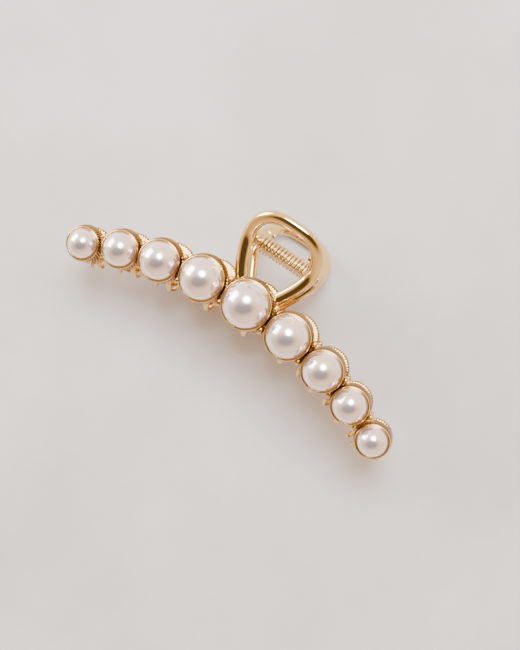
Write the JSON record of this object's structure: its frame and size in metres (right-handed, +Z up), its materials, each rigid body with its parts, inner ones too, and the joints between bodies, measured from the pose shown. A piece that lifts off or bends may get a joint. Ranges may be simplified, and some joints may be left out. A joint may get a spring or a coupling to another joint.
{
  "type": "claw clip",
  "caption": "Large hair claw clip: two sprung cast jaws with graduated half-pearls in bezels, interlocking curved teeth and rounded finger loops.",
  "frame": {"origin": "middle of the clip's footprint, on the table that it lies on", "axes": "+X along the row of pearls, +Y from the teeth towards the finger loops, +Z up, from the rear half to the front half; the plane between the halves is level"},
  "size_m": [0.0992, 0.0398, 0.0364],
  "materials": {
    "jaw_gold": "polished pale-gold plating over a zinc casting",
    "bezel_gold": "polished pale-gold plating",
    "handle_gold": "mirror-polished pale-gold plating",
    "spring_gold": "bright gold-plated steel wire",
    "pin_gold": "gold-plated steel pin",
    "pearl": "imitation pearl with a nacre lustre"
  },
  "bodies": {
    "rear_half": {"rear_jaw": "jaw_gold", "rear_teeth": "jaw_gold", "rear_handle": "handle_gold", "hinge_pin": "pin_gold", "torsion_spring": "spring_gold", "rear_bezel_1": "bezel_gold", "rear_bezel_2": "bezel_gold", "rear_bezel_3": "bezel_gold", "rear_bezel_4": "bezel_gold", "rear_bezel_5": "bezel_gold", "rear_bezel_6": "bezel_gold", "rear_bezel_7": "bezel_gold", "rear_bezel_8": "bezel_gold", "rear_bezel_9": "bezel_gold", "rear_pearl_1": "pearl", "rear_pearl_2": "pearl", "rear_pearl_3": "pearl", "rear_pearl_4": "pearl", "rear_pearl_5": "pearl", "rear_pearl_6": "pearl", "rear_pearl_7": "pearl", "rear_pearl_8": "pearl", "rear_pearl_9": "pearl"},
    "front_half": {"front_jaw": "jaw_gold", "front_teeth": "jaw_gold", "front_handle": "handle_gold", "front_bezel_1": "bezel_gold", "front_bezel_2": "bezel_gold", "front_bezel_3": "bezel_gold", "front_bezel_4": "bezel_gold", "front_bezel_5": "bezel_gold", "front_bezel_6": "bezel_gold", "front_bezel_7": "bezel_gold", "front_bezel_8": "bezel_gold", "front_bezel_9": "bezel_gold", "front_pearl_1": "pearl", "front_pearl_2": "pearl", "front_pearl_3": "pearl", "front_pearl_4": "pearl", "front_pearl_5": "pearl", "front_pearl_6": "pearl", "front_pearl_7": "pearl", "front_pearl_8": "pearl", "front_pearl_9": "pearl"}
  },
  "joints": [
    {"name": "jaw_hinge", "type": "hinge", "parent": "rear_half", "child": "front_half", "pos_m": [0, 0.01081, 0.01819], "axis": [-1, 0, 0], "range_deg": [0, 60], "stiffness_Nm_per_rad": 0.08, "springref_deg": -45.84, "deforming": ["torsion_spring"]}
  ]
}
